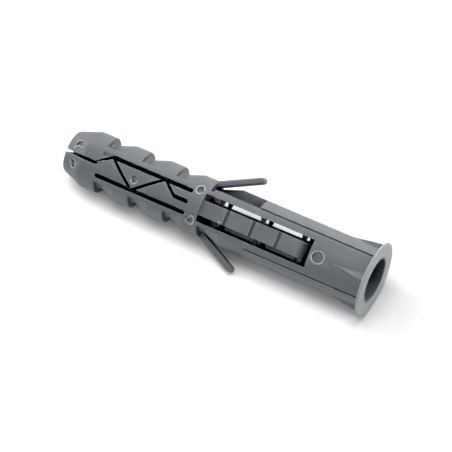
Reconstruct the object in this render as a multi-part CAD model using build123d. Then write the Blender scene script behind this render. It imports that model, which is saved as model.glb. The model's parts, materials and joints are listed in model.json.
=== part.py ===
from build123d import *
import math
import os

# Nylon expansion plug, moulded in one piece.
# It is drawn along X: the mouth of its screw hole is centred on the origin and its nose
# points to -X. +Z is the normal of the front panel, and the wings spread along Y.
# The finished plug is then turned and tipped as it lies on a table, about that same origin.

# Lengths along the plug, from the mouth to the nose
sleeve_l = 25.5
pocket_l = 10.4
barb_pitch = 7.6
barb_count = 3
nose_l = 7.8

# Round body
sleeve_r = 6.0
barb_r = 5.8
root_r = 4.6
root_l = 0.9
root_corner_r = 0.2
ramp_l = 3.3
nose_r = 4.15
nose_cone_l = 4.4
nose_edge_r = 0.5
nose_shoulder_r = 2.0
crest_edge_r = 0.25

# Collar at the mouth, and the tapered ribs that stiffen it
collar_r = 7.6
collar_t = 0.5
collar_rim_r = 0.2
collar_foot_r = 0.3
gusset_l = 8.0
gusset_h = 1.15
gusset_w = 2.4
gusset_lean = 0.6
side_gusset_w = 1.0
gusset_end_w = 0.15

# Panels front and back of the sleeve, and the crowned rails that carry on from them
panel_w = 8.2
panel_rise = 0.16
panel_line_w = 0.28
panel_line_depth = 0.25
rail_w = 7.2
rail_top = 6.1

# Screw hole: straight behind the mouth, then tapered towards the nose
bore_r = 4.4
bore_l = 9.0
throat_r = 3.5
core_r = 2.2
core_end_r = 0.9
core_end_gap = 5.5

# Window front and back of the sleeve, with a nicked tongue in it held by thin webs
window_w = 5.7
window_from = 12.5
window_past_waist = 0.3
tongue_root_w = 3.1
tongue_end_w = 3.4
tongue_gap = 1.1
tongue_top = 5.38
tongue_under = 2.5
tongue_nose_r = 1.6
nick_w = 0.8
nick_floor_w = 0.35
nick_depth = 0.5
nick_pitch = 5.6
nick_count = 3
web_l = 0.65
web_foot_l = 1.2
web_h = 0.7
web_from = 2.8
web_pitch = 8.95
web_count = 3

# Blind grooves, and the zigzag slit that splits the barbed end into two jaws
groove_w = 0.82
groove_off = 2.27
groove_depth = 2.2
groove_shallow = 0.35
waist_band = 2.95
slit_w = 0.6
slit_core_w = 0.3
slit_mouth_w = 0.66
slit_mouth_l = 0.5
slot_w = 0.78
slot_l = 3.1
zigzag_l = 5.8
zigzag_count = 3

# Wings on either side of the parting plane, and the pockets that they fold into
wing_l = 9.6
wing_t = 1.35
wing_w = 1.9
wing_angle = 26.5
wing_seat = 5.15
wing_root = 1.8
wing_round = 0.5
wing_edge_r = 0.12
pocket_wall = 4.15

# Marks that the ejector pins of the mould leave in the front
pin_depth = 0.40
nose_pin_r = 0.8
nose_pin_from = 2.45
nose_pin_off = 1.95
tooth_pin_r = 0.6
waist_pin_r = 0.8
waist_pin_from = 1.75
waist_pin_off = 3.05
sleeve_pin_r = 1.1
sleeve_pin_from = 10.6

# Places along X that follow from the lengths above
x_sleeve = -sleeve_l
x_waist = x_sleeve - pocket_l
x_steps = [x_waist - i * barb_pitch for i in range(barb_count + 1)]
x_last_step = x_steps[-1]
x_tip = x_last_step - nose_l
x_shoulder = x_tip + nose_cone_l
x_window_end = x_waist - window_past_waist
x_groove_end = x_waist - waist_band
panel_r = sleeve_r + panel_rise
ramp_slope = (barb_r - root_r) / ramp_l

# The rails' crown: an arc from edge to edge of a rail that meets the crests of the barbs there
rail_rise = rail_top - math.sqrt(barb_r**2 - (rail_w / 2) ** 2)
crown_r = (rail_rise**2 + (rail_w / 2) ** 2) / (2 * rail_rise)
crown_z = rail_top - crown_r
clear = 1.0
reach = collar_r + wing_l


def block(x_low, x_high, y_low, y_high, z_low, z_high):
    """A block between two corners."""
    size = Box(x_high - x_low, y_high - y_low, z_high - z_low)
    return Pos((x_low + x_high) / 2, (y_low + y_high) / 2, (z_low + z_high) / 2) * size


def rod(radius, x_low, x_high):
    """A round rod on the plug's axis."""
    return Pos((x_low + x_high) / 2, 0, 0) * Rot(0, 90, 0) * Cylinder(radius, x_high - x_low)


def turned(outline, rounded=()):
    """The solid that a closed outline sweeps round X, with some corners (x, radius) rounded."""
    face = make_face(outline)
    for x, y, radius in rounded:
        corners = [v for v in face.vertices() if abs(v.X - x) < 1e-6 and abs(v.Y - y) < 1e-6]
        face = fillet(corners, radius)
    return revolve(face, Axis.X)


def both_sides(front):
    """A feature of the front, and the same one half a turn round the plug's axis."""
    return front + Rot(180, 0, 0) * front


def round_body():
    """Nose cone, barbed stretch, sleeve and collar as one turned shape, before its cuts."""
    rim = min(collar_rim_r, 0.45 * collar_t)
    outline = Polyline(
        (x_tip, 0),
        (x_tip, nose_r),
        (x_shoulder, barb_r),
        (x_waist, barb_r),
        (x_waist, sleeve_r),
        (-collar_t, sleeve_r),
        (-collar_t, collar_r),
        (0, collar_r),
        (0, 0),
        close=True,
    )
    rounded = [
        (x_tip, nose_r, nose_edge_r),
        (x_shoulder, barb_r, nose_shoulder_r),
        (-collar_t, sleeve_r, collar_foot_r),
        (-collar_t, collar_r, rim),
        (0, collar_r, rim),
    ]
    return turned(outline, rounded)


def jaw_crowns():
    """The fuller front and back of the barbed end: the rails' crowns, run out on the nose cone."""
    half_cone = nose_cone_l / 2
    slope = (rail_top - (nose_r + barb_r) / 2) / half_cone
    outline = Polyline(
        (x_tip, 0),
        (x_tip, rail_top - slope * nose_cone_l),
        (x_shoulder, rail_top),
        (x_waist + clear, rail_top),
        (x_waist + clear, 0),
        close=True,
    )
    fuller = turned(outline, [(x_shoulder, rail_top, nose_shoulder_r)])
    return both_sides(fuller & Pos(0, 0, crown_z) * rod(crown_r, x_tip, x_waist + clear))


def panels():
    """The slightly raised panels front and back of the sleeve."""
    half = panel_w / 2
    return rod(panel_r, x_sleeve, -collar_t / 2) & block(x_sleeve, 0, -half, half, -reach, reach)


def panel_line():
    """The fine line cut beside the +Y edge of the front panel, from its nose end to the collar."""
    inner = panel_w / 2
    outer = inner + panel_line_w
    floor = math.sqrt(sleeve_r**2 - outer**2) - panel_line_depth
    return block(x_sleeve, -collar_t - collar_foot_r, inner, outer, floor, reach)


def gusset(surface_r, width, lean=0):
    """One tapered rib on the +Z side, so wide where it leaves that surface at the collar.

    Its ridge leans to -Y, and its foot is sunk half its height, so it is half as wide again there.
    """
    foot = surface_r - gusset_h / 2
    top = surface_r + gusset_h
    half = 0.75 * width
    middle = -lean / 2
    tall = Polyline((middle - half, foot), (middle + half, foot), (-lean, top), close=True)
    low = Polyline((-gusset_end_w / 2, foot), (gusset_end_w / 2, foot), (0, surface_r), close=True)
    at_collar = Plane(origin=(-collar_t / 2, 0, 0), x_dir=(0, 1, 0), z_dir=(1, 0, 0))
    at_end = Plane(origin=(-gusset_l, 0, 0), x_dir=(0, 1, 0), z_dir=(1, 0, 0))
    return loft([at_end * make_face(low), at_collar * make_face(tall)])


def barb_groove(x_step):
    """The ring cut behind a barb: its square step, the root and the ramp to the next crest."""
    top = sleeve_r + clear
    x_ramp = x_step + root_l
    low = barb_r - crest_edge_r
    inset = crest_edge_r * (1 - math.sqrt(0.5))
    crest = ThreePointArc((x_step - crest_edge_r, barb_r), (x_step - inset, barb_r - inset), (x_step, low))
    step_and_ramp = Polyline(
        (x_step, low),
        (x_step, root_r),
        (x_ramp, root_r),
        (x_ramp + (top - root_r) / ramp_slope, top),
        (x_step - crest_edge_r, top),
        (x_step - crest_edge_r, barb_r),
    )
    return turned(crest + step_and_ramp, [(x_step, root_r, root_corner_r)])


def barb_grooves():
    """All the rings, stopped at the rails front and back."""
    rail = rail_w / 2
    rails = block(x_tip, 0, -rail, rail, -reach, reach)
    wing_rails = both_sides(block(x_waist + root_l, x_sleeve, 0, pocket_wall, 0, reach))
    rings = [barb_groove(x) - rails for x in x_steps[1:]]
    return rings + [barb_groove(x_waist) - rails - wing_rails]


def wing_pocket():
    """The pocket in the sleeve that the front wing folds into."""
    return block(x_waist, x_sleeve, pocket_wall, reach, 0, reach)


def wing():
    """The front wing: a springy bar that leaves the waist slantwise, rounded on its outer side."""
    end = wing_l - wing_t / 2
    half = wing_t / 2
    sides = Polyline((end, half), (-wing_root, half), (-wing_root, -half), (end, -half))
    tip = ThreePointArc((end, -half), (wing_l, 0), (end, half))
    bar = extrude(make_face(sides + tip), wing_w)
    outer = [e for e in bar.edges() if e.center().Z > wing_w - 0.01 and e.center().X > -wing_root + 0.01]
    bar = fillet(outer, min(wing_round, 0.45 * wing_t))
    inner = [e for e in bar.edges() if e.center().Z < 0.01 and e.center().X > -wing_root + 0.01]
    bar = fillet(inner, wing_edge_r)
    return Pos(x_waist, wing_seat, 0) * Rot(0, 0, wing_angle) * bar


def screw_hole():
    """The straight bore behind the mouth and the tapers that the screw spreads the plug with."""
    outline = Polyline(
        (clear, 0),
        (clear, bore_r),
        (-bore_l, bore_r),
        (-window_from, throat_r),
        (x_waist, core_r),
        (x_tip + core_end_gap, core_end_r),
        (x_tip + core_end_gap, 0),
        close=True,
    )
    return turned(outline)


def windows():
    """The opening through the sleeve, front to back, that the tongues stand in."""
    half = window_w / 2
    return block(x_window_end, -window_from, -half, half, -reach, reach)


def nick(x):
    """One notch across the front tongue, narrower at its floor."""
    floor = tongue_top - nick_depth
    outline = Polyline(
        (x - nick_w / 2, tongue_top),
        (x - nick_floor_w / 2, floor),
        (x + nick_floor_w / 2, floor),
        (x + nick_w / 2, tongue_top),
        (x + nick_w / 2, reach),
        (x - nick_w / 2, reach),
        close=True,
    )
    return extrude(Plane.XZ * make_face(outline), window_w / 2, both=True)


def tongue():
    """The front tongue, fixed at the waist and nicked across so that it bends."""
    x_free = -window_from - tongue_gap
    x_root = x_window_end - clear
    root, end = tongue_root_w / 2, tongue_end_w / 2
    plan = Polyline((x_root, -root), (x_free, -end), (x_free, end), (x_root, root), close=True)
    bar = Pos(0, 0, tongue_under) * extrude(make_face(plan), tongue_top - tongue_under)
    free = [e for e in bar.edges() if e.center().Z > tongue_top - 0.01 and e.center().X > x_free - 0.01]
    bar = fillet(free, tongue_nose_r)
    for i in range(1, nick_count + 1):
        bar -= nick(x_window_end + i * nick_pitch)
    return bar


def webs():
    """The webs that hold the front tongue to both sides of the window, thinnest where they break off it."""
    half = window_w / 2
    corners = [(web_foot_l / 2, half + web_h / 2), (web_foot_l / 2, half), (web_l / 2, tongue_root_w / 2)]
    right = corners + [(x, -y) for x, y in reversed(corners)]
    plan = Polyline(*right, *[(-x, y) for x, y in reversed(right)], close=True)
    web = Pos(0, 0, tongue_under) * extrude(make_face(plan), web_h)
    return [Pos(-window_from - web_from - i * web_pitch, 0, 0) * web for i in range(web_count)]


def groove(x_low, x_high, depth):
    """A blind groove with round ends along one side of the front strip."""
    floor = crown_z + math.sqrt(crown_r**2 - groove_off**2) - depth
    shape = SlotOverall(x_high - x_low, groove_w)
    return Pos((x_low + x_high) / 2, groove_off, floor) * extrude(shape, reach)


def grooves():
    """The grooves of the front: both deep, but the +Y one is shallow nosewards of the first tooth."""
    x_peak = x_groove_end - slot_l - (zigzag_count - 0.5) * zigzag_l
    deep = groove(x_peak, x_groove_end, groove_depth)
    shallow = groove(x_last_step, x_peak + groove_w, groove_shallow)
    whole = groove(x_last_step, x_groove_end, groove_depth)
    return [deep, shallow, mirror(whole, Plane.XZ)]


def slit_run(start, end):
    """One straight run of the slit, round at both ends, that widens from the parting plane outwards."""
    run = math.dist(start, end)
    turn = math.degrees(math.atan2(end[1] - start[1], end[0] - start[0]))
    draft = math.degrees(math.atan((slit_w - slit_core_w) / (2 * barb_r)))
    cut = extrude(SlotCenterToCenter(run, slit_core_w), reach, taper=-draft)
    return Pos((start[0] + end[0]) / 2, (start[1] + end[1]) / 2, 0) * Rot(0, 0, turn) * cut


def front_slit():
    """The slit of the front, from the nose in a zigzag between the grooves to its square slot."""
    x_slot = x_groove_end - slot_l
    path = [(x_slot, 0)]
    for i in range(zigzag_count):
        side = 1 if i % 2 == 0 else -1
        path.append((x_slot - (i + 0.5) * zigzag_l, side * groove_off))
    path.append((x_slot - zigzag_count * zigzag_l, 0))
    path.append((x_tip - clear, 0))
    cuts = [slit_run(a, b) for a, b in zip(path, path[1:])]
    cuts.append(block(x_slot, x_groove_end, -slot_w / 2, slot_w / 2, 0, reach))
    mouth = slit_mouth_w / 2
    cuts.append(block(x_tip - clear, x_tip + slit_mouth_l, -mouth, mouth, 0, reach))
    return cuts


def pin_mark(x, y, radius, surface_r, centre_z=0, slope=0):
    """A flat shallow dimple at (x, y) on the front, square to a surface round (y, z) = (0, centre_z)."""
    rise = math.sqrt(surface_r**2 - y**2)
    normal = (-slope, y / surface_r, rise / surface_r)
    return Plane(origin=(x, y, centre_z + rise), z_dir=normal) * Cylinder(radius, 2 * pin_depth)


def pin_marks():
    """The dimples at the nose, on the middle tooth, at the waist and on the sleeve."""
    nose_slope = (barb_r - nose_r) / nose_cone_l
    nose_surface = nose_r + nose_slope * nose_pin_from
    x_nose, x_rail = x_tip + nose_pin_from, x_waist - waist_pin_from
    marks = [
        pin_mark(x_groove_end - slot_l - 1.5 * zigzag_l, 0, tooth_pin_r, crown_r, crown_z),
        pin_mark(-sleeve_pin_from, 0, sleeve_pin_r, panel_r),
    ]
    for side in (-1, 1):
        marks.append(pin_mark(x_nose, side * nose_pin_off, nose_pin_r, nose_surface, slope=nose_slope))
        marks.append(pin_mark(x_rail, side * waist_pin_off, waist_pin_r, crown_r, crown_z))
    return marks


def plug():
    """The whole moulding, drawn along X."""
    body = round_body() + jaw_crowns() + panels()
    line = panel_line()
    body -= [both_sides(line), both_sides(mirror(line, Plane.XZ))]
    body += [Rot(turn, 0, 0) * gusset(panel_r, gusset_w, gusset_lean) for turn in (0, 180)]
    body += [Rot(turn, 0, 0) * gusset(sleeve_r, side_gusset_w) for turn in (90, 270)]
    body -= barb_grooves()
    body -= both_sides(wing_pocket())
    body += [wing(), Rot(180, 0, 0) * wing()]
    body -= [screw_hole(), windows()]
    front = [tongue()] + webs()
    body += front + [Rot(180, 0, 0) * piece for piece in front]
    cuts = grooves() + front_slit()
    body -= cuts + [Rot(180, 0, 0) * cut for cut in cuts]
    body -= pin_marks()
    return body


def resting_tilt(roll):
    """The angle by which the nose hangs down when the collar's rim and a rail's crown lie on a table."""
    crown = crown_r + crown_z * math.cos(roll)
    return math.atan2(collar_r - crown, -x_shoulder - collar_t / 2)


def resting_roll(tilt):
    """The turn about the axis at which the lower wing's tip meets the table as well."""
    angle = math.radians(wing_angle)
    arm = wing_l - wing_t / 2
    rounding = min(wing_round, 0.45 * wing_t)
    x_tip_of_wing = x_waist + arm * math.cos(angle)
    across = wing_seat + arm * math.sin(angle) + wing_t / 2 - rounding
    along_normal = wing_w - rounding
    height = collar_r + (x_tip_of_wing + collar_t / 2) * math.tan(tilt)
    lean = math.asin((height - rounding) / math.hypot(across, along_normal))
    return lean - math.atan2(along_normal, across)


def resting_angles():
    """The tilt and the roll in degrees, found by turns because each depends a little on the other."""
    roll = 0
    for _ in range(10):
        tilt = resting_tilt(roll)
        roll = resting_roll(tilt)
    return math.degrees(tilt), math.degrees(roll)


def laid_down(solid):
    """The plug as it lies on a table: on its collar, the crown of a rail and the tip of the lower wing."""
    tilt, roll = resting_angles()
    return Rot(0, -tilt, 0) * Rot(roll, 0, 0) * solid


os.makedirs("parts", exist_ok=True)
part = laid_down(plug())
print("tilt and roll", [round(angle, 3) for angle in resting_angles()])
export_step(part, "parts/plug.step")
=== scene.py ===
"""Looks of a grey nylon expansion plug that lies on a pale table.

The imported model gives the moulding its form. It is copied here into one dense mesh whose
edges are softened as a mould leaves them. The thin flash round the marks of the ejector
pins and the crumbs that hang on the slots are modelled as pieces of their own, and each
piece gets a procedural nylon finish. Lengths are in metres, and MM turns millimetres into them.
"""

import json
import logging
import math
import random
from dataclasses import dataclass, field
from enum import Enum
from typing import Any, Sequence

import bmesh
import bpy
import numpy as np
from mathutils import Matrix, Vector
from mathutils.bvhtree import BVHTree


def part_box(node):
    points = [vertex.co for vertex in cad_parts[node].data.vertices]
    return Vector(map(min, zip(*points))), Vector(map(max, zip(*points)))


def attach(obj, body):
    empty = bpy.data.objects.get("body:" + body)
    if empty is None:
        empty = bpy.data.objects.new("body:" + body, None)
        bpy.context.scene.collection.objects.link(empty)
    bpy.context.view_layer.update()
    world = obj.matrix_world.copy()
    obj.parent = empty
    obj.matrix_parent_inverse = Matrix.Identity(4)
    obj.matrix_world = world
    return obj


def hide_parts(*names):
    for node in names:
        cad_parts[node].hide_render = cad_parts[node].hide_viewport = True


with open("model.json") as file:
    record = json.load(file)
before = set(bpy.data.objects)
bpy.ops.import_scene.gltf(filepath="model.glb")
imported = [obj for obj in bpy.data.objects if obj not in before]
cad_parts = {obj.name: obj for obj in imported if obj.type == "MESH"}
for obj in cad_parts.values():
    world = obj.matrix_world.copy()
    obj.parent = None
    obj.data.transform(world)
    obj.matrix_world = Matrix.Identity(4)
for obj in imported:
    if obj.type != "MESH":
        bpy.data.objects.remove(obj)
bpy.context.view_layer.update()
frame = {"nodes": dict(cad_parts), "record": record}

MM = 0.001
NODE = "plug"
BODY = "root"
TINY = 1e-12

log = logging.getLogger("expansion_plug")


class Mask(Enum):
    """Names of the per-vertex values that a finish reads from its mesh: painted highlights on convex edges
    and painted shade in the hollows.
    """

    # painted highlight on convex edges
    PAINTED_LIGHT = "painted_light"
    # painted shade in the hollows
    PAINTED_SHADE = "painted_shade"


class Reach(Enum):
    """What a light falls on."""

    ALL = "all"
    PLUG = "plug"
    TABLE = "table"


def deselect_all() -> None:
    """Leave object mode clean, with nothing selected."""
    if bpy.context.object is not None and bpy.context.object.mode != "OBJECT":
        bpy.ops.object.mode_set(mode="OBJECT")
    bpy.ops.object.select_all(action="DESELECT")


def pick(piece: bpy.types.Object) -> None:
    """Make one object the only selected and the active one."""
    deselect_all()
    piece.select_set(True)
    bpy.context.view_layer.objects.active = piece


def apply_modifier(piece: bpy.types.Object, name: str, kind: str, **settings: Any) -> None:
    """Add a modifier to a piece and apply it at once.

    Args:
        piece: The object to change.
        name: A plain name for the step.
        kind: Blender's name of the modifier type.
        **settings: Values of the modifier's own settings.
    """
    pick(piece)
    modifier = piece.modifiers.new(name, kind)
    for key, value in settings.items():
        setattr(modifier, key, value)
    bpy.ops.object.modifier_apply(modifier=name)


def hand_over(piece: bpy.types.Object, material: bpy.types.Material) -> None:
    """Give a finished piece its material and its body.

    Args:
        piece: The finished object, with its place in its mesh.
        material: The only material that it wears.
    """
    piece.data.materials.clear()
    piece.data.materials.append(material)
    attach(piece, BODY)


@dataclass(frozen=True)
class Lie:
    """How the plug lies: its own frame (X out of the mouth, Y across, Z through the front) in the world.

    Attributes:
        roll: Turn about the plug's axis, in degrees, that lays it on its lower wing.
    """

    roll: float = 33.8095

    def axis(self) -> Vector:
        """Return the plug's axis, out of its mouth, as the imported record's screw hole states it."""
        mounts = {mount["name"]: mount for mount in frame["record"]["mounts"]}
        return Vector(mounts["screw_hole"]["axis"])

    def matrix(self) -> Matrix:
        """Return the turn from the plug's own frame into the world's."""
        axis = self.axis()
        tilt = math.atan2(axis.z, axis.x)
        return Matrix.Rotation(-tilt, 4, "Y") @ Matrix.Rotation(math.radians(self.roll), 4, "X")


@dataclass(frozen=True)
class Viewpoint:
    """The camera, at the photograph's angle.

    Attributes:
        azimuth: Angle round the plug in degrees, where 0 looks along +Y.
        elevation: Angle above the table in degrees.
        distance: From the lens to the point aimed at.
        aim: The point in the middle of the picture.
        lens: Focal length in millimetres on the sensor below.
        sensor: Width of the sensor in millimetres.
        nearest: Distance from the lens at which the picture begins.
        farthest: Distance from the lens at which it ends.
    """

    azimuth: float = 28.129
    elevation: float = 56.401
    distance: float = 798 * MM
    aim: tuple[float, float, float] = (-29.27 * MM, -5.86 * MM, 5.74 * MM)
    lens: float = 331.36
    sensor: float = 36.0
    nearest: float = 0.1
    farthest: float = 10.0

    def back(self) -> Vector:
        """Return the direction from the plug to the camera."""
        a, e = math.radians(self.azimuth), math.radians(self.elevation)
        return Vector((math.sin(a) * math.cos(e), -math.cos(a) * math.cos(e), math.sin(e)))

    def build(self) -> bpy.types.Object:
        """Add the camera and make it the scene's.

        Returns:
            The camera object.
        """
        deselect_all()
        place = Vector(self.aim) + self.back() * self.distance
        bpy.ops.object.camera_add(location=place)
        camera = bpy.context.object
        camera.name = "viewpoint"
        camera.rotation_mode = "QUATERNION"
        camera.rotation_quaternion = (-self.back()).to_track_quat("-Z", "Y")
        camera.data.sensor_width = self.sensor
        camera.data.lens = self.lens
        camera.data.clip_start = self.nearest
        camera.data.clip_end = self.farthest
        camera.data.dof.use_dof = False
        bpy.context.scene.camera = camera
        return camera


class NodeBoard:
    """A material's node tree, filled by short calls."""

    def __init__(self, name: str) -> None:
        """Start an empty material.

        Args:
            name: The material's name.
        """
        self.material = bpy.data.materials.new(name)
        self.material.use_nodes = True
        self.tree = self.material.node_tree
        self.tree.nodes.clear()
        self.shader = self.add("ShaderNodeBsdfPrincipled")
        output = self.add("ShaderNodeOutputMaterial")
        self.join(self.shader.outputs["BSDF"], output.inputs["Surface"])

    def add(self, kind: str, inputs: dict[Any, Any] | None = None, **settings: Any) -> bpy.types.Node:
        """Add a node.

        Args:
            kind: Blender's type name of the node.
            inputs: Socket names or numbers, each with a value or with an output to link.
            **settings: Values of the node's own settings.

        Returns:
            The new node.
        """
        node = self.tree.nodes.new(kind)
        for key, value in settings.items():
            setattr(node, key, value)
        for key, value in (inputs or {}).items():
            if isinstance(value, bpy.types.NodeSocket):
                self.join(value, node.inputs[key])
            else:
                node.inputs[key].default_value = value
        return node

    def join(self, source: bpy.types.NodeSocket, target: bpy.types.NodeSocket) -> None:
        """Link an output to an input."""
        self.tree.links.new(source, target)

    def place(self, lie: Lie) -> bpy.types.NodeSocket:
        """Return object coordinates turned into the plug's own frame, in millimetres.

        Args:
            lie: How the plug lies.

        Returns:
            The vector output.
        """
        coordinates = self.add("ShaderNodeTexCoord")
        turn = lie.matrix().inverted().to_euler("XYZ")
        mapping = self.add(
            "ShaderNodeMapping",
            {"Vector": coordinates.outputs["Object"], "Rotation": turn, "Scale": (1 / MM,) * 3},
        )
        return mapping.outputs["Vector"]

    def stretched(self, place: bpy.types.NodeSocket, scale: Sequence[float]) -> bpy.types.NodeSocket:
        """Return coordinates that are scaled by a factor along each axis."""
        return self.add("ShaderNodeMapping", {"Vector": place, "Scale": scale}).outputs["Vector"]

    def noise(self, place: bpy.types.NodeSocket, size: float, detail: float = 2.0) -> bpy.types.NodeSocket:
        """Return smooth noise.

        Args:
            place: The coordinates, in millimetres.
            size: Rough size of a blotch in millimetres.
            detail: Number of finer octaves.

        Returns:
            The noise's value, about 0.5 on average.
        """
        inputs = {"Vector": place, "Scale": 1 / size, "Detail": detail, "Roughness": 0.55}
        return self.add("ShaderNodeTexNoise", inputs).outputs["Fac"]

    def ramp(self, value: Any, low: float, high: float, start: float, end: float) -> bpy.types.NodeSocket:
        """Return a value mapped from low..high to start..end and held at the ends."""
        inputs = {"Value": value, "From Min": low, "From Max": high, "To Min": start, "To Max": end}
        return self.add("ShaderNodeMapRange", inputs, clamp=True).outputs["Result"]

    def math(self, operation: str, first: Any, second: Any) -> bpy.types.NodeSocket:
        """Return the result of one sum on two values or outputs."""
        return self.add("ShaderNodeMath", {0: first, 1: second}, operation=operation).outputs["Value"]

    def mix(self, share: Any, first: Any, second: Any) -> bpy.types.NodeSocket:
        """Return a colour between two, at a share from 0 to 1."""
        node = self.add("ShaderNodeMix", {0: share}, data_type="RGBA")
        for key, value in ((6, first), (7, second)):
            if isinstance(value, bpy.types.NodeSocket):
                self.join(value, node.inputs[key])
            else:
                node.inputs[key].default_value = (*value, 1.0)
        return node.outputs[2]

    def mask(self, mask: Mask) -> bpy.types.NodeSocket:
        """Return a value that the piece's own mesh carries at each vertex."""
        return self.add("ShaderNodeAttribute", attribute_name=mask.value).outputs["Fac"]


@dataclass(frozen=True)
class SatinNylon:
    """Grey moulded nylon with faint flow streaks, blotches and a fine grain, with painted highlights on its
    edges, painted light on the collar's face and painted shade in its hollows.

    Attributes:
        name: The material's name.
        colour: Base colour, linear.
        light: Colour of streaks and blotches at their palest.
        painted_light: Colour of the painted highlights on edges and of the painted light on the collar's
            face.
        painted_shade: Colour of the painted shade in the hollows, where little light comes back out.
        collar_painted_light: How far the collar's face is lightened towards the painted light colour, as
            painted light.
        roughness: Lowest and highest roughness.
        grain: Depth of the fine grain in millimetres.
        swell: Depth of the slow waves of the skin in millimetres.
        shine: Specular level in the open, and lower deep in the hollows as painted shade.
        collar_from: Places along X, in millimetres, between which the thin collar begins.
        collar_radii: Radii, in millimetres, between which it begins outside the screw hole's wall.
        blotch_size: Rough size of a blotch in millimetres.
        streak_size: Rough width of a flow streak in millimetres.
        streak_scale: Scale of the streaks along the plug's axes, so that they run along it.
        patch_size: Rough size of a rougher patch in millimetres.
        grain_size: Rough size of the fine grain in millimetres.
        swell_size: Rough length of the slow waves in millimetres.
    """

    name: str = "satin_nylon"
    colour: tuple[float, float, float] = (0.059, 0.065, 0.074)
    light: tuple[float, float, float] = (0.075, 0.082, 0.091)
    painted_light: tuple[float, float, float] = (0.20, 0.21, 0.215)
    painted_shade: tuple[float, float, float] = (0.006, 0.007, 0.008)
    collar_painted_light: float = 1.0
    roughness: tuple[float, float] = (0.40, 0.52)
    grain: float = 0.011
    swell: float = 0.02
    shine: tuple[float, float] = (0.5, 0.1)
    collar_from: tuple[float, float] = (-0.75, -0.5)
    collar_radii: tuple[float, float] = (4.5, 5.0)
    blotch_size: float = 3.5
    streak_size: float = 0.9
    streak_scale: tuple[float, float, float] = (0.12, 1.0, 1.0)
    patch_size: float = 1.3
    grain_size: float = 0.09
    swell_size: float = 1.6

    def at_collar(self, board: NodeBoard, place: bpy.types.NodeSocket) -> bpy.types.NodeSocket:
        """Return how much a point belongs to the thin collar, from 0 to 1.

        Args:
            board: The node tree.
            place: The coordinates in the plug's own frame.

        Returns:
            The share's output.
        """
        parts = board.add("ShaderNodeSeparateXYZ", {"Vector": place}).outputs
        flat = board.add("ShaderNodeCombineXYZ", {"Y": parts["Y"], "Z": parts["Z"]}).outputs["Vector"]
        radius = board.add("ShaderNodeVectorMath", {0: flat}, operation="LENGTH").outputs["Value"]
        at_mouth = board.ramp(parts["X"], *self.collar_from, 0.0, 1.0)
        return board.math("MULTIPLY", board.ramp(radius, *self.collar_radii, 0.0, 1.0), at_mouth)

    def build(self, lie: Lie) -> bpy.types.Material:
        """Build the material.

        Args:
            lie: How the plug lies, so that streaks follow its axis.

        Returns:
            The material, ready to wear.
        """
        board = NodeBoard(self.name)
        place = board.place(lie)
        blotches = board.ramp(board.noise(place, self.blotch_size, 3.0), 0.3, 0.7, 0.0, 0.6)
        drawn_out = board.stretched(place, self.streak_scale)
        streaks = board.ramp(board.noise(drawn_out, self.streak_size, 2.0), 0.35, 0.7, 0.0, 0.4)
        share = board.math("ADD", blotches, streaks)
        colour = board.mix(share, self.colour, self.light)
        # painted shade: the colour darkens in the hollows, where the moulding's own walls hide the sky
        colour = board.mix(board.mask(Mask.PAINTED_SHADE), colour, self.painted_shade)
        # painted light: the collar's face is lightened
        collar_lightness = board.math("MULTIPLY", self.at_collar(board, place), self.collar_painted_light)
        painted_lightness = board.math("MAXIMUM", board.mask(Mask.PAINTED_LIGHT), collar_lightness)
        # painted highlights on convex edges and painted light on the collar's face lighten the colour
        colour = board.mix(painted_lightness, colour, self.painted_light)
        board.join(colour, board.shader.inputs["Base Color"])
        patches = board.noise(place, self.patch_size, 3.0)
        board.join(board.ramp(patches, 0.3, 0.7, *self.roughness), board.shader.inputs["Roughness"])
        grain = board.math("MULTIPLY", board.noise(place, self.grain_size, 2.0), self.grain)
        swell = board.math("MULTIPLY", board.noise(place, self.swell_size, 1.0), self.swell)
        height = board.math("ADD", grain, swell)
        bump = board.add("ShaderNodeBump", {"Height": height, "Distance": MM, "Strength": 1.0})
        board.join(bump.outputs["Normal"], board.shader.inputs["Normal"])
        # painted shade: the specular level drops in the hollows
        shine = board.ramp(board.mask(Mask.PAINTED_SHADE), 0.0, 1.0, *self.shine)
        board.join(shine, board.shader.inputs["Specular IOR Level"])
        return board.material


@dataclass(frozen=True)
class TableTop:
    """The pale table's finish.

    Attributes:
        colour: Its colour, linear.
        roughness: Its roughness.
        cloud_gain: How much lighter its faint clouds are.
        cloud_scale: Number of clouds to a metre, roughly.
        shine: Its specular level.
    """

    colour: tuple[float, float, float] = (0.86, 0.86, 0.86)
    roughness: float = 0.7
    cloud_gain: float = 1.03
    cloud_scale: float = 4.0
    shine: float = 0.2

    def build(self) -> bpy.types.Material:
        """Return the material."""
        board = NodeBoard("table_top")
        coordinates = board.add("ShaderNodeTexCoord").outputs["Object"]
        inputs = {"Vector": coordinates, "Scale": self.cloud_scale}
        cloud = board.add("ShaderNodeTexNoise", inputs).outputs["Fac"]
        lighter = tuple(self.cloud_gain * value for value in self.colour)
        board.join(board.mix(cloud, self.colour, lighter), board.shader.inputs["Base Color"])
        board.shader.inputs["Roughness"].default_value = self.roughness
        board.shader.inputs["Specular IOR Level"].default_value = self.shine
        return board.material


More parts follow.
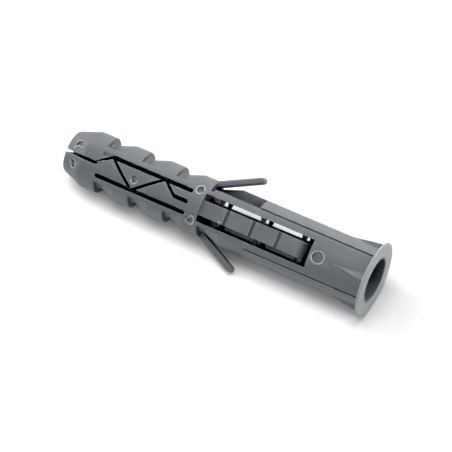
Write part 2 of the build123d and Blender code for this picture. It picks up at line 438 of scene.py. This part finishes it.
@dataclass
class Softbox:
    """One soft square light.

    Attributes:
        name: A plain name.
        place: Where its middle is.
        power: Its power in watts.
        reach: What it falls on.
        side: Length of its side.
        aim: The point that it faces.
    """

    name: str
    place: tuple[float, float, float]
    power: float
    reach: Reach = Reach.ALL
    side: float = 0.40
    aim: tuple[float, float, float] = (-30 * MM, 0.0, 0.0)

    def build(self, receivers: dict[Reach, bpy.types.Collection]) -> bpy.types.Object:
        """Add the light.

        Args:
            receivers: The objects that a light of each reach falls on.

        Returns:
            The light object.
        """
        deselect_all()
        bpy.ops.object.light_add(type="AREA", location=self.place)
        light = bpy.context.object
        light.name = self.name + "_softbox"
        light.data.size = self.side
        light.data.energy = self.power
        facing = Vector(self.aim) - Vector(self.place)
        light.rotation_euler = facing.to_track_quat("-Z", "Y").to_euler()
        if self.reach in receivers:
            light.light_linking.receiver_collection = receivers[self.reach]
        return light


def studio_softboxes() -> list[Softbox]:
    """Return the studio's lights: open ones, ones that only model the plug, and ones for the table."""
    return [
        Softbox("overhead", (-0.03, 0.00, 0.70), 2.6),
        Softbox("left", (-0.70, 0.00, 0.33), 2.5),
        Softbox("right", (0.64, 0.00, 0.33), 1.3),
        Softbox("front_left", (-0.50, -0.40, 0.33), 0.8),
        Softbox("front_high", (-0.03, -0.40, 0.58), 1.0),
        Softbox("back", (-0.03, 0.62, 0.33), 2.3, Reach.PLUG),
        Softbox("back_low", (-0.03, 0.70, 0.12), 2.1, Reach.PLUG),
        Softbox("back_left", (-0.50, 0.40, 0.33), 3.1, Reach.PLUG),
        Softbox("back_right", (0.45, 0.40, 0.33), 4.0, Reach.PLUG),
        Softbox("plug_left", (-0.50, -0.40, 0.33), 2.0, Reach.PLUG),
        Softbox("plug_front", (-0.03, -0.62, 0.33), 1.0, Reach.PLUG),
        Softbox("table_overhead", (-0.03, 0.00, 0.70), 1.5, Reach.TABLE),
        Softbox("table_left", (-0.43, 0.10, 0.58), 2.0, Reach.TABLE),
    ]


@dataclass
class Studio:
    """Table, daylight and softboxes round the plug.

    Attributes:
        table_side: Side of the table's square top.
        table_cuts: Cuts across it each way.
        daylight: Strength of the even light from all round.
        black: Linear tone that is shown as black.
        softboxes: The lights.
    """

    table_side: float = 4.0
    table_cuts: int = 8
    daylight: float = 0.02
    black: float = 0.012
    softboxes: list[Softbox] = field(default_factory=studio_softboxes)

    def build_table(self) -> bpy.types.Object:
        """Lay the table top under the plug's lowest point.

        Returns:
            The table top.
        """
        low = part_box(NODE)[0]
        deselect_all()
        bpy.ops.mesh.primitive_plane_add(size=self.table_side, location=(0.0, 0.0, 0.0))
        table = bpy.context.object
        table.name = "table_top"
        bpy.ops.object.mode_set(mode="EDIT")
        bpy.ops.mesh.subdivide(number_cuts=self.table_cuts)
        bpy.ops.transform.translate(value=(0.0, 0.0, low.z))
        bpy.ops.object.mode_set(mode="OBJECT")
        table.data.materials.append(TableTop().build())
        return table

    def set_tones(self) -> None:
        """Show tones as they are, with the deepest shadows as plain black."""
        view = bpy.context.scene.view_settings
        view.view_transform = "Standard"
        view.use_curve_mapping = True
        view.curve_mapping.black_level = (self.black,) * 3
        view.curve_mapping.update()

    def build_daylight(self) -> None:
        """Light the scene evenly from all round."""
        world = bpy.data.worlds.new("daylight")
        world.use_nodes = True
        background = world.node_tree.nodes["Background"]
        background.inputs["Color"].default_value = (1.0, 1.0, 1.0, 1.0)
        background.inputs["Strength"].default_value = self.daylight
        bpy.context.scene.world = world

    def gather(self, name: str, members: Sequence[bpy.types.Object]) -> bpy.types.Collection:
        """Return a collection of objects that some lights fall on."""
        group = bpy.data.collections.new(name)
        for member in members:
            group.objects.link(member)
        return group

    def build(self, pieces: Sequence[bpy.types.Object]) -> None:
        """Set up everything that isn't the plug.

        Args:
            pieces: The plug's finished pieces.
        """
        self.set_tones()
        table = self.build_table()
        self.build_daylight()
        receivers = {
            Reach.PLUG: self.gather("plug_pieces", pieces),
            Reach.TABLE: self.gather("table_pieces", [table]),
        }
        for softbox in self.softboxes:
            softbox.build(receivers)


class Skin:
    """Numbers on the vertices of a mesh, and averages over its edges."""

    def __init__(self, mesh: bpy.types.Mesh) -> None:
        """Read the places, normals and edges of a mesh.

        Args:
            mesh: The mesh.
        """
        self.mesh = mesh
        self.count = len(mesh.vertices)
        self.places = self.read("co")
        self.normals = self.read("normal")
        edges = np.empty(len(mesh.edges) * 2, dtype=np.int64)
        mesh.edges.foreach_get("vertices", edges)
        self.first, self.second = edges.reshape(-1, 2).T
        met = np.bincount(self.first, minlength=self.count) + np.bincount(self.second, minlength=self.count)
        self.degree = np.maximum(met, 1)

    def read(self, name: str) -> np.ndarray:
        """Return a vector of each vertex, one row for each."""
        values = np.empty(self.count * 3)
        self.mesh.vertices.foreach_get(name, values)
        return values.reshape(-1, 3)

    def spread(self, at_edges: np.ndarray) -> np.ndarray:
        """Average a value of the edges onto the vertices."""
        total = np.bincount(self.first, at_edges, self.count) + np.bincount(self.second, at_edges, self.count)
        return total / self.degree

    def smooth(self, values: np.ndarray, passes: int) -> np.ndarray:
        """Even out a value of the vertices.

        Args:
            values: The value of each vertex.
            passes: How many times each vertex takes half of what its neighbours have.

        Returns:
            The evened values.
        """
        for _ in range(passes):
            values = 0.5 * values + 0.5 * self.spread(0.5 * (values[self.first] + values[self.second]))
        return values

    def store(self, mask: Mask, values: np.ndarray) -> None:
        """Keep a value of the vertices in the mesh, for its finish to read."""
        attribute = self.mesh.attributes.new(mask.value, "FLOAT", "POINT")
        attribute.data.foreach_set("value", values.astype(np.float32))


def all_round(count: int) -> list[Vector]:
    """Return directions spread evenly all round, along a spiral from pole to pole.

    Args:
        count: How many.

    Returns:
        Vectors of length 1.
    """
    golden = math.pi * (3 - math.sqrt(5))
    directions = []
    for number in range(count):
        height = 1 - (2 * number + 1) / count
        ring = math.sqrt(1 - height * height)
        angle = golden * number
        directions.append(Vector((ring * math.cos(angle), ring * math.sin(angle), height)))
    return directions


@dataclass
class Moulding:
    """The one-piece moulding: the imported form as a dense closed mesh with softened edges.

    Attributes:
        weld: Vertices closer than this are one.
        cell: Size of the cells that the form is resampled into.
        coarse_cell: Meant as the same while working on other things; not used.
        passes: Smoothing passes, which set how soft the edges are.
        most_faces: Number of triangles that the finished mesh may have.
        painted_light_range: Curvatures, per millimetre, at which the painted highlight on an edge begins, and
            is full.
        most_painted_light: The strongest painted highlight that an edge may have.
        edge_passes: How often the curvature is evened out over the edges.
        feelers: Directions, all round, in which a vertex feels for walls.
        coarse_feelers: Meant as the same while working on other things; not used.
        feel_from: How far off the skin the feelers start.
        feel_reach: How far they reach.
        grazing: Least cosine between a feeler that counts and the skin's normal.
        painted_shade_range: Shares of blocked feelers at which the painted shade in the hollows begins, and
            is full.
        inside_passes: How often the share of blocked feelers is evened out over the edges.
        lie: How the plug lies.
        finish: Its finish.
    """

    weld: float = 0.001 * MM
    cell: float = 0.08 * MM
    coarse_cell: float = 0.12 * MM
    passes: int = 2
    most_faces: int = 190_000
    painted_light_range: tuple[float, float] = (0.8, 6.8)
    most_painted_light: float = 0.6
    edge_passes: int = 2
    feelers: int = 40
    coarse_feelers: int = 12
    feel_from: float = 0.02 * MM
    feel_reach: float = 7.0 * MM
    grazing: float = 0.15
    painted_shade_range: tuple[float, float] = (0.56, 0.84)
    inside_passes: int = 3
    lie: Lie = field(default_factory=Lie)
    finish: SatinNylon = field(default_factory=SatinNylon)

    def copy_form(self) -> bpy.types.Object:
        """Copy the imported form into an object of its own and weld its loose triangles.

        Returns:
            The welded copy.
        """
        piece = bpy.data.objects.new("moulding", frame["nodes"][NODE].data.copy())
        bpy.context.scene.collection.objects.link(piece)
        pick(piece)
        bpy.ops.object.mode_set(mode="EDIT")
        bpy.ops.mesh.select_all(action="SELECT")
        bpy.ops.mesh.remove_doubles(threshold=self.weld)
        bpy.ops.object.mode_set(mode="OBJECT")
        return piece

    def soften(self, piece: bpy.types.Object) -> None:
        """Resample the form evenly, round its edges and thin the mesh where it is flat.

        Args:
            piece: The welded copy.
        """
        cell = self.cell
        apply_modifier(piece, "cells", "REMESH", mode="VOXEL", voxel_size=cell, adaptivity=0.0)
        apply_modifier(piece, "soft_edges", "SMOOTH", factor=0.5, iterations=self.passes)
        share = self.most_faces / (2 * len(piece.data.polygons))
        if share < 1:
            apply_modifier(piece, "thin_out", "DECIMATE", ratio=share)
        pick(piece)
        bpy.ops.object.shade_smooth()
        apply_modifier(piece, "even_shading", "WEIGHTED_NORMAL", mode="FACE_AREA", weight=50)

    def paint_edge_highlights(self, skin: Skin) -> None:
        """Store how far each vertex stands out of its surroundings, as a painted highlight on convex edges.

        Args:
            skin: The softened mesh.
        """
        along = skin.places[skin.second] - skin.places[skin.first]
        turned = skin.normals[skin.second] - skin.normals[skin.first]
        bend = np.einsum("ij,ij->i", turned, along) / (np.einsum("ij,ij->i", along, along) + TINY)
        curvature = skin.smooth(skin.spread(bend) * MM, self.edge_passes)
        low, high = self.painted_light_range
        # painted highlight: the sharper an edge bends outward, the lighter its colour
        skin.store(Mask.PAINTED_LIGHT, np.clip((curvature - low) / (high - low), 0.0, self.most_painted_light))

    def paint_hollow_shade(self, piece: bpy.types.Object, skin: Skin) -> None:
        """Store how much of the open sky each vertex has lost to the moulding's own walls, as painted shade.

        Args:
            piece: The softened piece.
            skin: Its mesh.
        """
        tree = BVHTree.FromObject(piece, bpy.context.evaluated_depsgraph_get())
        feelers = all_round(self.feelers)
        lost = np.zeros(len(piece.data.vertices))
        for vertex in piece.data.vertices:
            normal = vertex.normal
            start = vertex.co + normal * self.feel_from
            outward = [feeler for feeler in feelers if feeler.dot(normal) > self.grazing]
            blocked = sum(tree.ray_cast(start, feeler, self.feel_reach)[0] is not None for feeler in outward)
            lost[vertex.index] = blocked / max(len(outward), 1)
        low, high = self.painted_shade_range
        share = skin.smooth(lost, self.inside_passes)
        # painted shade: the more sky the walls hide, the darker the colour
        skin.store(Mask.PAINTED_SHADE, np.clip((share - low) / (high - low), 0.0, 1.0))

    def build(self) -> bpy.types.Object:
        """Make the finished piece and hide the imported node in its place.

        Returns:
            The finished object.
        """
        piece = self.copy_form()
        self.soften(piece)
        skin = Skin(piece.data)
        self.paint_edge_highlights(skin)
        self.paint_hollow_shade(piece, skin)
        hand_over(piece, self.finish.build(self.lie))
        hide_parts(NODE)
        log.info("moulding: %d faces", len(piece.data.polygons))
        return piece


class Ground:
    """The moulding's skin, felt from the front of the plug."""

    def __init__(self, moulding: bpy.types.Object, lie: Lie, clear: float = 12.0) -> None:
        """Keep what is needed to feel for the skin.

        Args:
            moulding: The finished moulding.
            lie: How the plug lies.
            clear: A height over the plug's axis, in millimetres, that is clear of the moulding.
        """
        self.moulding = moulding
        self.turn = lie.matrix().to_3x3()
        self.clear = clear

    def height(self, along: float, across: float) -> float:
        """Return how far the skin is in front of the plug's axis, in millimetres.

        Args:
            along: Distance from the mouth in millimetres.
            across: Distance towards the upper wing in millimetres.

        Returns:
            The height of the skin, or 0 where the plug is open.
        """
        start = self.turn @ Vector((-along, across, self.clear)) * MM
        found, place, _, _ = self.moulding.ray_cast(start, -self.turn.col[2])
        return self.clear - (place - start).length / MM if found else 0.0


def select_run(piece: bpy.types.Object, first: int, count: int) -> None:
    """Select a run of vertices and nothing else, in edit mode.

    Args:
        piece: The object in edit mode.
        first: Number of the first vertex.
        count: How many follow.
    """
    bpy.ops.mesh.select_all(action="DESELECT")
    form = bmesh.from_edit_mesh(piece.data)
    form.verts.ensure_lookup_table()
    for vertex in form.verts[first:first + count]:
        vertex.select_set(True)
    bmesh.update_edit_mesh(piece.data)


def at_turn(values: Sequence[float], turn: float) -> float:
    """Return a value between evenly spaced ones round a full turn.

    Args:
        values: The values, the first of them at the start of the turn.
        turn: Share of a full turn, from 0 to 1.

    Returns:
        The value there.
    """
    place = turn * len(values)
    first = int(place) % len(values)
    share = place - int(place)
    return values[first] * (1 - share) + values[(first + 1) % len(values)] * share


def roughen(piece: bpy.types.Object, depth: float, size: float) -> None:
    """Make a piece ragged, as torn flash is, while it is still in millimetres.

    Args:
        piece: The object.
        depth: How far its skin is pushed in and out.
        size: Size of the bumps.
    """
    apply_modifier(piece, "finer", "SUBSURF", levels=1, render_levels=1)
    texture = bpy.data.textures.new("ragged", "CLOUDS")
    texture.noise_scale = size
    settings = {"texture": texture, "texture_coords": "LOCAL", "mid_level": 0.5, "strength": depth}
    apply_modifier(piece, "ragged", "DISPLACE", **settings)


def settle(piece: bpy.types.Object, lie: Lie) -> None:
    """Turn a piece from millimetres in the plug's frame to its place on the plug.

    Args:
        piece: The object.
        lie: How the plug lies.
    """
    pick(piece)
    piece.matrix_world = lie.matrix() @ Matrix.Scale(MM, 4)
    bpy.ops.object.transform_apply(location=True, rotation=True, scale=True)
    bpy.ops.object.shade_smooth()


@dataclass(frozen=True)
class FlashRing:
    """A ragged rim of flash round the mark of an ejector pin, in millimetres.

    Attributes:
        name: A plain name.
        along: Distance of its middle from the mouth.
        across: Distance of its middle from the plug's middle line, towards the upper wing.
        radius: Its mean radius.
        outline: Shares of the radius at even angles, from the mouth's side towards the upper wing.
        rise: Shares of the height at even angles, in the same order.
        band: Width of the rim.
        height: How far the rim stands out.
        sections: Sections round the ring.
        rim: Vertices of one section.
        narrowest: Share of the width that is left where the rim doesn't rise.
        lowest: Share of the height that is left there.
        wander: Least and greatest factor on a section's distance from the middle.
        width_spread: The same on its width.
        height_spread: The same on its height.
        ragged: Depth of the ragged skin, as a share of the band.
        bump_size: Size of the bumps on it.
    """

    name: str
    along: float
    across: float
    radius: float
    outline: tuple[float, ...]
    rise: tuple[float, ...] = (1.0,)
    band: float = 0.30
    height: float = 0.26
    sections: int = 40
    rim: int = 8
    narrowest: float = 0.5
    lowest: float = 0.3
    wander: tuple[float, float] = (0.97, 1.03)
    width_spread: tuple[float, float] = (0.75, 1.15)
    height_spread: tuple[float, float] = (0.8, 1.15)
    ragged: float = 0.35
    bump_size: float = 0.28

    def build(self, ground: Ground, lie: Lie, material: bpy.types.Material) -> bpy.types.Object:
        """Model the ring.

        Args:
            ground: The skin that it sits on.
            lie: How the plug lies.
            material: Its finish.

        Returns:
            The finished piece.
        """
        deselect_all()
        bpy.ops.mesh.primitive_torus_add(
            major_segments=self.sections,
            minor_segments=self.rim,
            major_radius=self.radius,
            minor_radius=self.band / 2,
        )
        piece = bpy.context.object
        piece.name = self.name
        chance = random.Random(len(self.name))
        bpy.ops.object.mode_set(mode="EDIT")
        for section in range(self.sections):
            turn = section / self.sections
            angle = math.tau * turn
            reach = self.radius * at_turn(self.outline, turn) * chance.uniform(*self.wander)
            rise = at_turn(self.rise, turn)
            across = self.across + reach * math.sin(angle)
            along = self.along - reach * math.cos(angle)
            ground_height = ground.height(along, across)
            select_run(piece, section * self.rim, self.rim)
            middle = (self.radius * math.cos(angle), self.radius * math.sin(angle), 0.0)
            wide = self.narrowest + (1 - self.narrowest) * rise
            width = wide * chance.uniform(*self.width_spread)
            high = self.lowest + (1 - self.lowest) * rise
            tall = 2 * self.height / self.band * high * chance.uniform(*self.height_spread)
            bpy.ops.transform.resize(value=(width, width, 0.5 * tall), center_override=middle)
            shift = (-along - middle[0], across - middle[1], ground_height - self.height * (1 - rise))
            bpy.ops.transform.translate(value=shift)
        bpy.ops.object.mode_set(mode="OBJECT")
        roughen(piece, self.ragged * self.band, self.bump_size)
        settle(piece, lie)
        hand_over(piece, material)
        log.info("%s: %d faces", self.name, len(piece.data.polygons))
        return piece


@dataclass(frozen=True)
class FlashRidge:
    """A thread or film of torn flash that follows a short route, in millimetres.

    Attributes:
        name: A plain name.
        route: Points as distance from the mouth, distance towards the upper wing and, where the thread
            bridges an opening, height in front of the plug's axis.
        width: Its width.
        height: How far it stands out.
        torn: Whether it is torn and pale, or smooth like the moulding.
        stub: Length of the block that the ridge grows from.
        spread: Least and greatest factor on its thickness from one point to the next.
        ragged: Depth of the ragged skin, as a share of the width.
        bump_size: Size of the bumps on it.
    """

    name: str
    route: tuple[tuple[float, ...], ...]
    width: float = 0.22
    height: float = 0.20
    torn: bool = True
    stub: float = 0.05
    spread: tuple[float, float] = (0.6, 1.3)
    ragged: float = 0.6
    bump_size: float = 0.2

    def build(self, ground: Ground, lie: Lie, material: bpy.types.Material) -> bpy.types.Object:
        """Model the ridge: a small block whose end is drawn along the route.

        Args:
            ground: The skin that it sits on.
            lie: How the plug lies.
            material: Its finish.

        Returns:
            The finished piece.
        """
        chance = random.Random(len(self.name))
        stops = [self.stop(ground, *point) for point in self.route]
        heading = (stops[1] - stops[0]).normalized()
        deselect_all()
        bpy.ops.mesh.primitive_cube_add(size=1.0, location=(0.0, 0.0, 0.0))
        piece = bpy.context.object
        piece.name = self.name
        bpy.ops.object.mode_set(mode="EDIT")
        bpy.ops.mesh.select_all(action="SELECT")
        block = (self.stub, self.width, self.height)
        bpy.ops.transform.resize(value=block, center_override=(0.0, 0.0, 0.0))
        bpy.ops.transform.rotate(
            value=-math.atan2(heading.y, heading.x), orient_axis="Z", center_override=(0.0, 0.0, 0.0)
        )
        bpy.ops.transform.translate(value=stops[0])
        form = bmesh.from_edit_mesh(piece.data)
        bpy.ops.mesh.select_all(action="DESELECT")
        form.faces.ensure_lookup_table()
        front = max(form.faces, key=lambda face: (face.calc_center_median() - stops[0]).dot(heading))
        front.select_set(True)
        bmesh.update_edit_mesh(piece.data)
        for here, there in zip(stops, stops[1:]):
            bpy.ops.mesh.extrude_region_move(TRANSFORM_OT_translate={"value": there - here})
            share = chance.uniform(*self.spread)
            bpy.ops.transform.resize(value=(share, share, share), center_override=there)
        bpy.ops.mesh.select_all(action="SELECT")
        bpy.ops.mesh.normals_make_consistent(inside=False)
        bpy.ops.mesh.subdivide(number_cuts=2)
        bpy.ops.object.mode_set(mode="OBJECT")
        roughen(piece, self.ragged * self.width, self.bump_size)
        settle(piece, lie)
        hand_over(piece, material)
        log.info("%s: %d faces", self.name, len(piece.data.polygons))
        return piece

    def stop(self, ground: Ground, along: float, across: float, level: float | None = None) -> Vector:
        """Return one point of the route in the plug's frame, on the skin or at a height of its own."""
        height = ground.height(along, across) if level is None else level
        return Vector((-along, across, height))


def pin_rings() -> list[FlashRing]:
    """Return the rims of flash round the six pin marks, with the outlines that the photograph shows."""
    return [
        FlashRing(
            "sleeve_pin_ring", 10.5, 0.0, 1.22,
            (1.0, 0.98, 1.0, 1.0, 1.0, 1.04, 1.10, 1.22, 1.04, 1.0, 1.0, 1.0),
            (0.9, 0.8, 0.8, 0.9, 0.9, 1.0, 1.0, 1.0, 1.0, 1.0, 0.9, 0.9), 0.26, 0.22,
        ),
        FlashRing(
            "upper_waist_ring", 37.7, 3.05, 0.83,
            (1.02, 0.97, 1.0, 1.03, 0.97, 1.0, 1.03, 0.98), (0.8, 0.8, 0.8, 0.9, 1.0, 1.0, 1.0, 0.9), 0.34,
        ),
        FlashRing(
            "lower_waist_ring", 37.5, -3.05, 0.83,
            (1.05, 1.08, 1.10, 0.93, 0.85, 0.70, 0.92, 1.12, 0.95, 0.98, 1.15, 0.96), (1.0,), 0.38,
        ),
        FlashRing(
            "strip_pin_ring", 50.6, -0.3, 0.66,
            (1.0, 1.0, 0.95, 1.0, 1.0, 1.0, 1.0, 0.95, 1.0, 1.05, 1.0, 1.0),
            (0.9, 0.7, 0.3, 0.0, 0.1, 0.6, 0.9, 1.0, 1.0, 1.0, 1.0, 0.9), 0.28, 0.22,
        ),
        FlashRing(
            "upper_nose_ring", 64.1, 1.95, 0.85, (1.0, 1.0),
            (0.5, 0.4, 0.5, 0.8, 0.8, 0.7, 0.5, 0.2, 0.2, 0.2, 0.4, 0.5), 0.22, 0.18,
        ),
        FlashRing(
            "lower_nose_ring", 63.9, -2.0, 0.80,
            (0.85, 0.80, 0.85, 0.95, 1.10, 1.22, 1.02, 0.85, 0.82, 0.98, 1.08, 0.95),
            (1.0, 1.0, 1.0, 0.8, 0.9, 0.7, 0.7, 0.9, 1.0, 1.0, 1.0, 1.0), 0.34,
        ),
    ]


def torn_threads() -> list[FlashRidge]:
    """Return the torn threads, films and crumbs that hang on the moulding."""
    return [
        FlashRidge(
            "nose_mark_flap",
            (
                (64.8, 0.85, 4.75), (64.55, 1.35, 4.80), (64.2, 1.45, 4.95),
                (63.8, 1.75, 5.05), (63.3, 1.50, 5.30), (62.85, 1.60, 5.50),
            ),
            0.50, 0.30,
        ),
        FlashRidge(
            "nose_mark_spur", ((64.7, -1.65, 4.55), (64.3, -2.0, 4.60), (63.95, -2.15, 4.70)), 0.28, 0.24,
        ),
        FlashRidge(
            "sleeve_mark_burr", ((12.0, -0.15), (11.65, -0.7), (11.3, -1.1), (10.6, -1.38)), 0.34, 0.28,
        ),
        FlashRidge("tongue_crumb", ((31.9, -1.20), (31.4, -1.35)), 0.26, 0.20),
        FlashRidge("tongue_end_crumb", ((14.7, -1.95, 3.9), (14.2, -2.1, 3.8)), 0.24, 0.22),
        FlashRidge(
            "slit_bend_film",
            ((59.2, 0.20, 5.3), (58.8, 0.45, 5.35), (58.3, 0.75, 5.35), (57.85, 1.05, 5.3)),
            0.24,
        ),
        FlashRidge("bore_burr", ((0.02, -3.50, 2.75), (0.03, -3.85, 2.25), (0.02, -4.05, 1.75)), 0.16, 0.16),
        FlashRidge(
            "nose_slit_film", ((60.0, 0.0, 0.0), (62.0, 0.0, 0.0), (64.0, 0.0, 0.0), (66.0, 0.0, 0.0)),
            0.42, 0.14, torn=False,
        ),
        FlashRidge("nose_slit_crumb", ((65.4, -0.14, 2.6), (65.1, 0.16, 2.8)), 0.26, 0.30, torn=False),
        FlashRidge("nose_slit_knot", ((64.4, -0.20, 2.9), (64.0, 0.12, 3.0)), 0.30, 0.30, torn=False),
    ]


def main() -> None:
    """Build the scene piece by piece."""
    logging.basicConfig(level=logging.INFO, format="%(name)s: %(message)s")
    Viewpoint().build()
    lie = Lie()
    moulding = Moulding().build()
    ground = Ground(moulding, lie)
    torn = SatinNylon("torn_nylon", (0.19, 0.20, 0.21), (0.30, 0.31, 0.32), roughness=(0.5, 0.7)).build(lie)
    plain = SatinNylon("flash_nylon").build(lie)
    flash = [ring.build(ground, lie, torn) for ring in pin_rings()]
    flash += [thread.build(ground, lie, torn if thread.torn else plain) for thread in torn_threads()]
    Studio().build([moulding, *flash])


if __name__ == "__main__":
    main()
